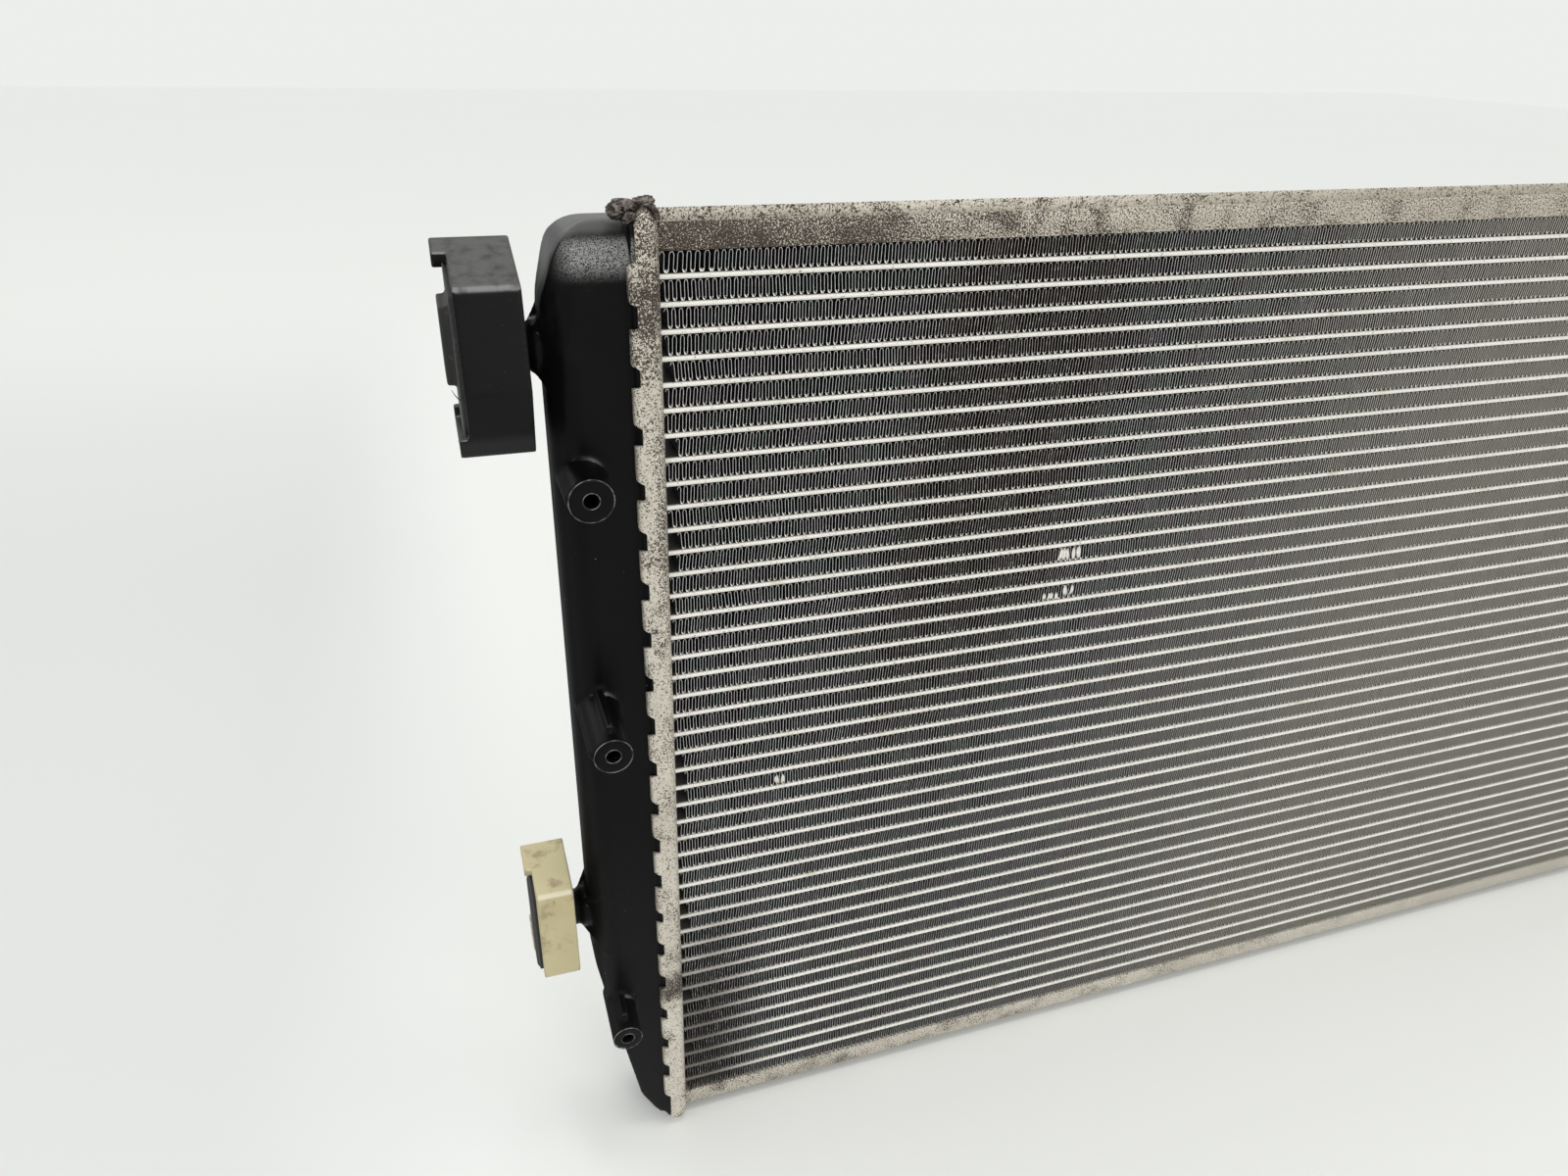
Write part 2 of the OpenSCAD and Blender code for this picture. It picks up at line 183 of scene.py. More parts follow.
# Where dirt, wear, painted shade and painted highlights lie, in metres. A pair is where a mask is 0
# and where it is 1.
SMEAR_Z = 0.113
UPPER_STAIN_Z = 0.447
STREAK_X, STREAK_Z = 361.5 * MM, 0.366
PARTING_Y = -4.5 * MM
# Where painted shade darkens the tubes between the fins
BETWEEN_FINS = (15.3 * MM, 14.2 * MM)
CHANNEL_FRONT = (-15.0 * MM, -15.9 * MM)
BAND_START, BAND_END = (-0.315, -0.285), (-0.19, -0.24)
SHEEN_LOW, SHEEN_HIGH = (0.4535, 0.4625), (0.4712, 0.4665)
SHEEN_SIDE = (0.3985, 0.3890)
TANK_TOP = (0.43, 0.46)

# How deep the bumps of the materials are
FINE_BUMP = 0.0003
BROAD_BUMP = 0.0008


def spot_share(g, value, middle, half, core):
    """1 near the middle of a stretch along one axis, fading to 0 at half away from it."""
    return g.band(g.size_of(g.minus(value, middle)), half, core)


def lit_lean(g):
    """How far a face leans up and forwards, as the bends and fillets do that catch the light."""
    return g.minus(g.times(g.face_z, 0.75), g.times(g.face_y, 0.66))


def edge_share(g, low, high):
    """1 on a piece's outer edges, or in its inner corners where low is over high."""
    return g.band(g.node("ShaderNodeNewGeometry").outputs["Pointiness"], low, high)


def channel_dirt(g, dirt, clean):
    """Side plates: dirtier to the left, and browner on the front of the upper one."""
    high = g.times(g.band(g.y, *CHANNEL_FRONT), g.band(g.z, 0.40, 0.45))
    clean = g.cover(clean, high, 0.28, (0.48, 0.40, 0.31))
    heavy = g.plus(g.times(high, 0.07), 0.03)
    extra = g.times(g.band(g.x, -0.16, -0.36), heavy)
    extra = g.plus(extra, g.times(high, 0.045))
    dirt = g.times(dirt, g.band(g.x, 0.30, -0.25))
    return g.plus(dirt, extra), clean


def header_dirt(g, dirt, clean):
    """Header plates: a black smear low down, and more specks near the top."""
    extra = g.times(g.band(g.z, 0.40, 0.475), 0.03)
    wavy = g.plus(g.z, g.times(g.noise(28, 3), 0.012))
    smear = spot_share(g, wavy, SMEAR_Z, 12 * MM, 3 * MM)
    clean = g.cover(clean, smear, 0.75, (0.11, 0.09, 0.075))
    stain = spot_share(g, g.z, UPPER_STAIN_Z, 14 * MM, 4 * MM)
    extra = g.plus(extra, g.plus(g.times(smear, 0.10), g.times(stain, 0.10)))
    # A streak of specks along the core's side, and a cleaner lower half
    edge = spot_share(g, g.size_of(g.x), STREAK_X, 5.5 * MM, 1.5 * MM)
    streak = g.times(edge, spot_share(g, g.z, STREAK_Z, 50 * MM, 25 * MM))
    extra = g.plus(extra, g.times(streak, 0.075))
    extra = g.minus(extra, g.times(g.band(g.z, 0.33, 0.25), 0.022))
    return g.plus(dirt, extra), clean


def plate_metal(name, local_dirt):
    """Pressed aluminium, grey-beige, dusted with fine black and brown specks."""
    g = Graph(name)
    broad = g.noise(28, 3)
    patches = g.noise(75, 4, 0.6, shift=3.0)
    grain = g.noise(1250, 2, 0.6)
    fine = g.noise(2500, 1)
    clean = g.mix(broad, (0.54, 0.50, 0.425), (0.79, 0.745, 0.66))
    clean = g.cover(clean, patches, 0.35, (0.44, 0.37, 0.26))
    # Dirt lies in patches, and where spray and dust have settled
    dirt = g.times(g.band(patches, 0.42, 0.72), 0.10)
    dirt, clean = local_dirt(g, dirt, clean)
    speck = g.plus(g.times(grain, 0.72), g.times(fine, 0.28))
    mask = g.band(g.minus(speck, dirt), 0.45, 0.40)
    colour = g.mix(mask, clean, (0.060, 0.042, 0.032))
    pale = g.band(fine, 0.60, 0.70)
    colour = g.cover(colour, pale, 0.45, (0.80, 0.77, 0.70))
    rough = g.plus(0.42, g.times(mask, 0.35))
    normal = g.bump(speck, 0.25, FINE_BUMP)
    normal = g.bump(g.noise(160, 3), 0.25, BROAD_BUMP, normal)
    return g.finish(colour, rough, 0.3, normal)


def corner_dirt(g):
    """1 low at the left end of the core, where road dirt has caked."""
    wavy = g.plus(g.z, g.times(g.noise(30, 3), 0.05))
    return g.times(g.band(g.x, -0.30, -0.348), g.band(wavy, 0.20, 0.10))


def tube_metal():
    """Bare edges of the tubes, pale, with small dark nicks and yellowish stains, and painted shade
    between the fins.
    """
    g = Graph("tube_metal")
    broad = g.noise(35, 3)
    grain = g.noise(900, 2, 0.6)
    colour = g.mix(broad, (0.72, 0.69, 0.63), (0.92, 0.89, 0.84))
    stain = g.band(g.noise(60, 2, shift=5.0), 0.60, 0.75)
    colour = g.cover(colour, stain, 0.5, (0.55, 0.50, 0.36))
    nick = g.band(grain, 0.38, 0.30)
    colour = g.cover(colour, nick, 0.75, (0.12, 0.10, 0.085))
    colour = g.cover(colour, corner_dirt(g), 0.92, (0.085, 0.068, 0.058))
    # Painted shade: between the fins, deep in the core, the tubes are darkened
    inside = g.band(g.size_of(g.y), *BETWEEN_FINS)
    colour = g.mix(inside, colour, (0.09, 0.085, 0.08))
    rough = g.plus(0.35, g.times(grain, 0.2))
    return g.finish(colour, rough, 0.25, g.bump(grain, 0.3, FINE_BUMP))


def fin_tint(g, dark, light, tint):
    """Dust on the fins, dark and cool on the left, lighter and browner on the right; and its slant."""
    hue = g.noise(70, 2, 0.6, (1, 0.2, 1))
    hue2 = g.noise(95, 2, 0.6, (1, 0.2, 1), 7.0)
    purple = tuple(v * (1 + k * tint) for v, k in zip(dark, (0.16, -0.07, 0.05)))
    green = tuple(v * (1 + k * tint) for v, k in zip(dark, (-0.07, 0.12, 0.0)))
    brown = tuple(v * k for v, k in zip(light, (1.05, 1.0, 0.80)))
    grey = g.mix(g.band(hue, 0.42, 0.58), purple, green)
    grey = g.cover(grey, g.band(hue2, 0.55, 0.75), 0.12, brown)
    # The dirt crosses the core at a slant
    slant = g.plus(g.x, g.times(g.z, -0.16))
    slant = g.plus(slant, g.times(g.noise(14, 2), 0.03))
    return g.mix(g.band(slant, -0.22, 0.04), grey, light), slant


def dirty_band(g, slant, extra, least):
    """A dirtier band across the left of the core, as thick as least, and extra more high up."""
    band = g.times(g.band(slant, *BAND_START), g.band(slant, *BAND_END))
    high = g.band(g.z, 0.20, 0.32)
    return g.times(band, g.plus(g.times(high, extra), least))


def fin_sheet():
    """The folded faces of the fins, dull and dusty."""
    g = Graph("fin_sheet")
    tone, slant = fin_tint(g, (0.042, 0.041, 0.043), (0.27, 0.245, 0.20), 1.0)
    tone = g.mix(dirty_band(g, slant, 0.5, 0.25), tone, (0.035, 0.028, 0.022))
    grain = g.noise(700, 2)
    tone = g.cover(tone, grain, 0.4, (0.03, 0.03, 0.03))
    return g.finish(tone, 0.5, 0.25, g.bump(grain, 0.2, FINE_BUMP))


def fin_edge():
    """The cut front and back edges of the fins, worn bright."""
    g = Graph("fin_edge")
    tone, slant = fin_tint(g, (0.53, 0.53, 0.53), (0.93, 0.885, 0.80), 0.4)
    tone = g.mix(dirty_band(g, slant, 0.45, 0.2), tone, (0.24, 0.20, 0.16))
    tone = g.cover(tone, corner_dirt(g), 0.85, (0.10, 0.082, 0.068))
    worn = g.band(g.noise(400, 2), 0.52, 0.68)
    tone = g.cover(tone, worn, 0.6, (0.92, 0.90, 0.86))
    return g.finish(tone, 0.4, 0.2)


def shoulder_dust_and_sheen(g):
    """Dust and painted light on a tank's top, and a painted sheen along the front of its shoulder."""
    ahead = g.minus(0.0, g.face_y)
    # A painted sheen, where the shoulder turns to face forwards
    sheen = g.times(g.band(ahead, 0.50, 0.75), g.band(g.z, *SHEEN_LOW))
    sheen = g.times(sheen, g.band(g.z, *SHEEN_HIGH))
    sheen = g.times(sheen, g.band(g.size_of(g.x), *SHEEN_SIDE))
    sheen = g.times(sheen, g.band(g.noise(2700, 2, 0.6), 0.36, 0.62))
    # Dust and painted light on the flat top
    dust_and_painted_light = g.plus(sheen, g.times(g.band(g.face_z, 0.64, 0.88), 0.26))
    return g.times(dust_and_painted_light, g.band(g.z, *TANK_TOP))


def parting_line(g):
    """1 on the line that the mould leaves along a tank's outer side and top."""
    line = spot_share(g, g.y, PARTING_Y, 0.45 * MM, 0.15 * MM)
    return g.times(line, g.band(g.size_of(g.face_y), 0.35, 0.15))


def tank_plastic():
    """Black glass-filled plastic: satin, finely grained, with settled dust, a painted sheen and
    painted light on its shoulder and top, painted highlights on edges and root fillets, and a few
    white specks.
    """
    g = Graph("tank_plastic")
    grain = g.noise(1700, 2, 0.6)
    broad = g.noise(22, 3)
    smear = g.band(g.noise(38, 4, 0.65, (1, 1, 0.5), 2.0), 0.55, 0.80)
    colour = g.mix(broad, (0.0022, 0.0022, 0.0024), (0.0042, 0.0042, 0.0045))
    colour = g.cover(colour, g.band(g.z, 0.24, 0.04), 0.5, (0.011, 0.011, 0.0115))
    colour = g.cover(colour, smear, 0.3, (0.024, 0.023, 0.022))
    # Dust and painted light on the top, and a painted sheen along the shoulder
    dust = g.times(shoulder_dust_and_sheen(g), 0.9, clamp=True)
    colour = g.mix(dust, colour, (0.40, 0.395, 0.39))
    # Outer edges lighter, partly rubbed wear and partly a painted highlight
    colour = g.cover(colour, edge_share(g, 0.53, 0.60), 0.35, (0.11, 0.11, 0.11))
    # Light lies in the root fillets that look up and forwards
    root = g.times(edge_share(g, 0.485, 0.455), g.band(lit_lean(g), 0.72, 0.96))
    colour = g.cover(colour, root, 0.8, (0.20, 0.20, 0.20))
    seam = parting_line(g)
    colour = g.cover(colour, seam, 0.9, (0.001, 0.001, 0.001))
    rare = g.band(g.noise(45, 2, shift=9.0), 0.58, 0.66)
    specks = g.times(g.dots(330, 0.035, 0.03), rare)
    colour = g.cover(colour, specks, 0.9, (0.62, 0.60, 0.58))
    rough = g.plus(0.27, g.times(smear, 0.2))
    rough = g.plus(rough, g.times(grain, 0.10))
    # The outer side is coarser, so it stays black when seen along it
    outer = g.times(g.band(g.size_of(g.face_x), 0.55, 0.90), g.band(g.z, 0.462, 0.435))
    rough = g.plus(rough, g.times(outer, 0.40))
    normal = g.bump(g.minus(grain, g.times(seam, 1.5)), 0.22, FINE_BUMP)
    normal = g.bump(g.noise(60, 3), 0.15, 0.001, normal)
    return g.finish(colour, rough, 0, normal, 0.08)


def bracket_plastic():
    """Black bracket: satin, greyer on top where dust lies and light is painted, with painted
    highlights along its bend and edges, a painted lighter lower part, and a few scratches and specks.
    """
    g = Graph("black_bracket_plastic")
    grain = g.noise(1500, 2, 0.6)
    broad = g.noise(50, 3)
    colour = g.mix(broad, (0.0035, 0.0035, 0.004), (0.0075, 0.0073, 0.0075))
    # Painted light: the lower part, where its face slopes, is lighter
    foot = g.band(g.z, 0.405, 0.400)
    colour = g.cover(colour, foot, 0.7, (0.024, 0.024, 0.024))
    # Dust and painted light on the upward faces, in streaks
    streaks = g.plus(g.times(g.band(g.noise(170, 4, 0.7), 0.3, 0.7), 0.3), 0.6)
    dust_and_painted_light = g.times(g.band(g.face_z, 0.25, 0.85), streaks)
    colour = g.mix(dust_and_painted_light, colour, (0.072, 0.070, 0.068))
    # A painted highlight along the bend between top and front
    bend = g.times(g.band(lit_lean(g), 0.86, 0.98), g.band(g.noise(220, 2), 0.20, 0.60))
    colour = g.cover(colour, bend, 0.75, (0.28, 0.272, 0.268))
    scratch = g.band(g.noise(120, 3, 0.7, (0.3, 1, 3)), 0.66, 0.74)
    colour = g.cover(colour, scratch, 0.3, (0.08, 0.075, 0.07))
    # Outer edges lighter, partly rubbed wear and partly a painted highlight
    colour = g.cover(colour, edge_share(g, 0.55, 0.62), 0.4, (0.14, 0.14, 0.14))
    rare = g.band(g.noise(80, 2, shift=4.0), 0.54, 0.64)
    specks = g.times(g.dots(380, 0.035, 0.03), rare)
    colour = g.cover(colour, specks, 0.9, (0.6, 0.57, 0.54))
    rough = g.plus(0.28, g.times(broad, 0.18))
    normal = g.bump(grain, 0.15, FINE_BUMP)
    normal = g.bump(g.noise(90, 3), 0.2, BROAD_BUMP, normal)
    return g.finish(colour, rough, 0, normal, 0.11)


def cream_plastic():
    """Cream bracket, yellowed, with a painted lighter top, a painted highlight along its bend, brown
    dirt, scratches and grey edges.
    """
    g = Graph("cream_bracket_plastic")
    broad = g.noise(55, 3, 0.6)
    colour = g.mix(broad, (0.42, 0.35, 0.175), (0.61, 0.54, 0.33))
    # Painted light: upward faces lighter, and a painted highlight along the bend
    colour = g.cover(colour, g.band(g.face_z, 0.4, 0.9), 0.6, (0.80, 0.70, 0.42))
    colour = g.cover(colour, g.band(lit_lean(g), 0.86, 0.98), 0.6, (0.86, 0.82, 0.66))
    brown = g.band(g.noise(85, 4, 0.65, shift=1.5), 0.52, 0.70)
    colour = g.cover(colour, brown, 0.6, (0.26, 0.19, 0.10))
    colour = g.cover(colour, edge_share(g, 0.515, 0.56), 0.6, (0.30, 0.27, 0.22))
    scratch = g.band(g.noise(150, 3, 0.7, (2.5, 1, 0.4), 6.0), 0.67, 0.72)
    colour = g.cover(colour, scratch, 0.8, (0.12, 0.085, 0.05))
    rough = g.plus(0.38, g.times(brown, 0.25))
    normal = g.bump(g.noise(900, 2), 0.15, FINE_BUMP)
    normal = g.bump(broad, 0.3, 0.001, normal)
    return g.finish(colour, rough, 0, normal)


def rubber(name, tone):
    """Rubber, blotched, with a little brown dust."""
    g = Graph(name)
    grain = g.noise(800, 3, 0.6)
    broad = g.noise(70, 3)
    colour = g.mix(broad, tone, tuple(v * 1.9 for v in tone))
    dust = g.band(g.noise(200, 3, 0.7, shift=8.0), 0.60, 0.75)
    colour = g.cover(colour, dust, 0.3, (0.13, 0.105, 0.09))
    rough = g.plus(0.5, g.times(grain, 0.25))
    return g.finish(colour, rough, 0, g.bump(grain, 0.3, 0.0004))


def rim_plastic():
    """The tanks' plastic on the bosses' rims, bright with a painted highlight."""
    g = Graph("rim_highlight_plastic")
    # A painted highlight, mottled along the rim
    worn = g.band(g.noise(300, 3, 0.6), 0.40, 0.62)
    colour = g.mix(worn, (0.012, 0.012, 0.012), (0.20, 0.20, 0.195))
    return g.finish(colour, 0.35, 0, g.bump(g.noise(900, 2), 0.2, 0.0002))


def ear_metal():
    """Torn, crumpled end of the header plate, brown-grey with grime."""
    g = Graph("ear_metal")
    grain = g.noise(700, 3, 0.6)
    bare = g.band(g.noise(260, 3, 0.7), 0.42, 0.60)
    colour = g.mix(bare, (0.022, 0.016, 0.014), (0.24, 0.20, 0.175))
    bright = g.band(grain, 0.62, 0.72)
    colour = g.cover(colour, bright, 0.5, (0.42, 0.38, 0.34))
    return g.finish(colour, 0.6, 0.2, g.bump(grain, 0.6, 0.0006))


def pale_floor():
    """A pale, nearly even floor, with a painted soft shadow in a stretch to the left of the radiator.
    """
    g = Graph("pale_floor")
    colour = g.mix(g.noise(1.5, 2), (0.945, 0.95, 0.93), (0.965, 0.97, 0.95))
    # Painted soft shadow of the radiator, to its left
    shade = g.times(g.band(g.x, -0.38, -0.62), g.band(g.y, 2.2, 0.6))
    colour = g.mix(shade, colour, (0.775, 0.78, 0.775))
    return g.finish(colour, 0.45, 0, g.bump(g.noise(40, 2), 0.02, 0.001))


PLATE = plate_metal("side_plate_metal", channel_dirt)
HEADER = plate_metal("header_metal", header_dirt)
TUBE = tube_metal()
FIN_SHEET = fin_sheet()
FIN_EDGE = fin_edge()
TANK = tank_plastic()
BLACK = bracket_plastic()
CREAM = cream_plastic()
BUSH = rubber("bush_rubber", (0.010, 0.009, 0.009))
SEAL = rubber("seal_rubber", (0.012, 0.012, 0.012))
EAR = ear_metal()
RIM_PLASTIC = rim_plastic()

# ------------------------------------------------------------------ mesh helpers

WELD = 0.01 * MM
BEND_ANGLE = math.radians(30)
FLAT_ANGLE = math.radians(1)


def new_piece(name, verts, faces, materials, slots=None, smooth=True):
    """A mesh object from arrays of corners and of four-cornered faces."""
    verts = np.asarray(verts, dtype=np.float32)
    faces = np.asarray(faces, dtype=np.int32)
    mesh = bpy.data.meshes.new(name)
    mesh.vertices.add(len(verts))
    mesh.vertices.foreach_set("co", verts.ravel())
    mesh.loops.add(faces.size)
    mesh.loops.foreach_set("vertex_index", faces.ravel())
    mesh.polygons.add(len(faces))
    mesh.polygons.foreach_set("loop_start", np.arange(len(faces), dtype=np.int32) * 4)
    if slots is not None:
        mesh.polygons.foreach_set("material_index", np.asarray(slots, dtype=np.int32))
    mesh.polygons.foreach_set("use_smooth", np.full(len(faces), smooth))
    mesh.update(calc_edges=True)
    if len(faces) > 1:
        shell = bmesh.new()
        shell.from_mesh(mesh)
        bmesh.ops.recalc_face_normals(shell, faces=shell.faces)
        shell.to_mesh(mesh)
        shell.free()
    for material in materials:
        mesh.materials.append(material)
    piece = bpy.data.objects.new(name, mesh)
    bpy.context.scene.collection.objects.link(piece)
    return piece


def join(verts, faces, more):
    """Adds another shape's corners and faces to lists of them."""
    more_verts, more_faces = more
    base = len(verts)
    faces += [tuple(k + base for k in face) for face in more_faces]
    verts += more_verts


def shade_smooth(piece):
    faces = piece.data.polygons
    faces.foreach_set("use_smooth", np.full(len(faces), True))


def applied(piece):
    """Turns the piece's modifiers into plain mesh."""
    graph = bpy.context.evaluated_depsgraph_get()
    mesh = bpy.data.meshes.new_from_object(piece.evaluated_get(graph))
    piece.modifiers.clear()
    piece.data = mesh
    return piece


def copy_of(node, name, material):
    """A free copy of a CAD node's mesh, its split corners joined again."""
    mesh = frame["nodes"][node].data.copy()
    mesh.name = name
    mesh.materials.clear()
    mesh.materials.append(material)
    piece = bpy.data.objects.new(name, mesh)
    bpy.context.scene.collection.objects.link(piece)
    weld = piece.modifiers.new("weld", "WELD")
    weld.merge_threshold = WELD
    return applied(piece)


def take_over(piece, node, body):
    """The piece stands for a CAD node, which is hidden, and is put on the body."""
    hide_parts(node)
    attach(piece, body)


def moulded(node, name, material, body, voxel, passes=4, keep=0.4):
    """Stands for a CAD node with the soft edges and root fillets that a moulding has.

    voxel is the grid's cell, passes how often it is smoothed, keep the share of faces kept.
    """
    piece = copy_of(node, name, material)
    grid = piece.modifiers.new("grid", "REMESH")
    grid.mode = "VOXEL"
    grid.voxel_size = voxel
    soft = piece.modifiers.new("soft", "SMOOTH")
    soft.factor = 0.5
    soft.iterations = passes
    thin = piece.modifiers.new("thin", "DECIMATE")
    thin.ratio = keep
    applied(piece)
    shade_smooth(piece)
    take_over(piece, node, body)


def bent_sheet(node, name, material, body, radius):
    """Stands for a CAD node with its bends and edges rounded off."""
    piece = copy_of(node, name, material)
    flat = piece.modifiers.new("flat", "DECIMATE")
    flat.decimate_type = "DISSOLVE"
    flat.angle_limit = FLAT_ANGLE
    applied(piece)
    edge = piece.modifiers.new("edge", "BEVEL")
    edge.width = radius
    edge.segments = 3
    edge.limit_method = "ANGLE"
    edge.angle_limit = BEND_ANGLE
    edge.harden_normals = True
    applied(piece)
    shade_smooth(piece)
    take_over(piece, node, body)


# ------------------------------------------------------------------ fins

ROWS_PER_PIECE = 5
ARC_STEPS = 3
LOOP = 2.70 * MM
FIN_T = 0.19 * MM
SOLDER = 1.15 * MM
CREST_H = 1.15 * MM
# Crests bulge a little over the legs of the folds
CREST_BULGE = 1.12
# The top row's folds are wider and more uneven, by these factors, over its left end
WILD_STRETCH = 22 * MM
WILD, WIDE = 2.6, 1.22
FLAP_STEPS = 6
# Material slots of the fins: the folded sheet, its cut edges, and solder and worn crests
FOLD, CUT, BRIGHT = range(3)


def fin_path(rng, row, x0, x1):
    """Centre line of one folded strip in x and z, and which points are on low and on high crests."""
    leaf = LOOP / 2
    xs, x = [], x0
    sway = rng.uniform(0, 6)
    while x < x1:
        xs.append(x)
        wild, wide = 1.0, 1.0
        if row == TUBE_COUNT and x < x0 + WILD_STRETCH:
            wild, wide = WILD, WIDE
        x += leaf * (wide + wild * rng.uniform(-0.09, 0.09) + 0.04 * math.sin(x * 210 + sway))
    points, low, crest = [], [], []
    lean = rng.uniform(-0.15, 0.25) * MM
    for i in range(len(xs) - 1):
        up = i % 2 == 0
        a, b = xs[i], xs[i + 1]
        middle, half = (a + b) / 2, (b - a) / 2
        wave = 0.22 * MM * noise.noise((middle * 60, row * 3.1, 0.5))
        push = lean + wave + rng.uniform(-0.06, 0.06) * MM
        slump = rng.uniform(0, 0.12) * MM
        sign = 1 if up else -1
        for k in range(ARC_STEPS + 1):
            t = math.pi * k / ARC_STEPS
            z = FIN_H / 2 - FIN_T / 2 - slump - CREST_H * (1 - math.sin(t))
            on_crest = 0 < k < ARC_STEPS
            bulge = CREST_BULGE if on_crest else 1.0
            points.append((middle - half * bulge * math.cos(t) + sign * push, sign * z))
            low.append(on_crest and not up)
            crest.append(on_crest and up)
    return np.array(points), np.array(low), np.array(crest)


def fin_faces(count, low, crest):
    """Faces between the four rings of a strip's corners, and each face's material slot."""
    at = np.arange(count - 1)
    bright = (low[:-1] | low[1:]) | (crest[:-1] & crest[1:])
    faces, slots = [], []
    for k in range(4):
        a, b = k * count, (k + 1) % 4 * count
        faces.append(np.stack([a + at, a + at + 1, b + at + 1, b + at], axis=1))
        if k in (1, 3):
            kind = np.where(bright, BRIGHT, CUT)
        elif k == 0:
            kind = np.where(low[:-1] & low[1:], BRIGHT, FOLD)
        else:
            kind = np.full(count - 1, FOLD)
        slots.append(kind)
    left = [0, count, 2 * count, 3 * count]
    faces.append(np.array([left, [k + count - 1 for k in reversed(left)]]))
    slots.append(np.array([CUT, CUT]))
    return np.concatenate(faces), np.concatenate(slots)


def fin_row(rng, row):
    """Corners and faces of one strip, and each face's material slot."""
    # Gaps between the strip's ends and the header plates, in millimetres
    open_left = rng.choice([0.5, 0.8, 1.2, 1.6, 3.6, 4.6])
    open_right = rng.choice([0.5, 0.9, 1.8, 4.0])
    if row == TUBE_COUNT:
        open_left = 0.5
    centre, low, crest = fin_path(rng, row, -CORE_SIDE + open_left * MM, CORE_SIDE - open_right * MM)
    step = np.gradient(centre, axis=0)
    step /= np.linalg.norm(step, axis=1)[:, None]
    side = np.stack([-step[:, 1], step[:, 0]], axis=1) * FIN_T / 2
    # Solder fills the lower crests where they meet the tube
    fill = np.where(low, 1 + 2 * SOLDER / FIN_T, 1.0)[:, None]
    z_mid = FIRST_TUBE + (row - 0.5) * TUBE_PITCH
    front = FINS_LOW[1] + rng.uniform(0, 0.25) * MM
    back = FINS_HIGH[1] - rng.uniform(0, 0.25) * MM
    count = len(centre)
    rings = []
    for offset, y in ((fill, front), (fill, back), (-1, back), (-1, front)):
        edge = centre + offset * side
        rings.append(np.stack([edge[:, 0], np.full(count, y), edge[:, 1] + z_mid], axis=1))
    faces, slots = fin_faces(count, low, crest)
    return np.concatenate(rings), faces, slots


def fins():
    """The folded strips, a few rows to a piece."""
    rng = random.Random(11)
    for first in range(0, TUBE_COUNT + 1, ROWS_PER_PIECE):
        verts, faces, slots, base = [], [], [], 0
        for row in range(first, min(first + ROWS_PER_PIECE, TUBE_COUNT + 1)):
            v, f, s = fin_row(rng, row)
            verts.append(v)
            faces.append(f + base)
            slots.append(s)
            base += len(v)
        name = f"folded_fins_{first // ROWS_PER_PIECE + 1}"
        piece = new_piece(name, np.concatenate(verts), np.concatenate(faces),
                          [FIN_SHEET, FIN_EDGE, TUBE], np.concatenate(slots), smooth=False)
        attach(piece, RADIATOR)
    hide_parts("fin_strips")


def flap(rng, at, width, height, curl):
    """A bent tongue of fin sheet that faces forwards."""
    steps = FLAP_STEPS
    verts = []
    for side in (0, 1):
        for j in range(steps + 1):
            t = j / steps
            broad = 0.3 + 0.7 * math.sin(math.pi * t) ** 0.7
            for i in range(3):
                s = i / 2 - 0.5
                x = at[0] + s * width * broad + curl * math.sin(2.2 * t)
                y = at[1] - 0.5 * MM * math.sin(math.pi * t) - abs(s) * 0.5 * MM + side * FIN_T
                z = at[2] + (t - 0.5) * height
                verts.append((x + rng.uniform(-0.08, 0.08) * MM, y, z))
    faces = []
    n = 3 * (steps + 1)
    for j in range(steps):
        for i in range(2):
            a = j * 3 + i
            faces.append((a, a + 1, a + 4, a + 3))
            faces.append((n + a, n + a + 3, n + a + 4, n + a + 1))
    border = [0, 1, 2] + [3 * j + 2 for j in range(1, steps + 1)]
    border += [3 * steps + 1, 3 * steps] + [3 * j for j in range(steps - 1, 0, -1)]
    for a, b in zip(border, border[1:] + border[:1]):
        faces.append((b, a, n + a, n + b))
    return verts, faces


def bent_fins():
    """The few places where something has knocked the fins flat and bright."""
    rng = random.Random(5)
    # Each spot's x and z in millimetres, how many fins are bent there, and how tall they stand
    spots = [(-168.5, 320, 5, 1.0), (-175.5, 300, 4, 0.55), (-166, 300.5, 2, 0.9), (-308, 220, 2, 0.8)]
    verts, faces = [], []
    for x, z, count, tall in spots:
        for i in range(count):
            across = (x + (i - count / 2) * (1.5 + 1.2 * tall) + rng.uniform(-0.5, 0.5)) * MM
            up = (z - 4 * (1 - tall) + rng.uniform(-0.3, 0.3)) * MM
            width = rng.uniform(1.2 + 0.5 * tall, 1.3 + 1.2 * tall) * MM
            curl = rng.uniform(-1.3, 1.3) * MM
            at = (across, FINS_LOW[1] + 0.6 * MM, up)
            join(verts, faces, flap(rng, at, width, 6.6 * tall * MM, curl))
    piece = new_piece("knocked_fins", verts, faces, [TUBE])
    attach(piece, RADIATOR)


# ------------------------------------------------------------------ header plates

HEADER_H = HEADER_HIGH[2] - HEADER_LOW[2]
HEADER_D = HEADER_HIGH[1] - HEADER_LOW[1]
HEADER_R = 7 * MM
SHEET = 1.5 * MM
RIM = 9 * MM
TAB_TOP = 12.1 * MM
TAB_PITCH = 22.2 * MM
TAB_LEN = 15 * MM
FIRST_TAB = HEADER_H - 19 * MM
TAB_COUNT = 20
TAB_BEND = 1.8 * MM
TAB_LIP = 1.6 * MM
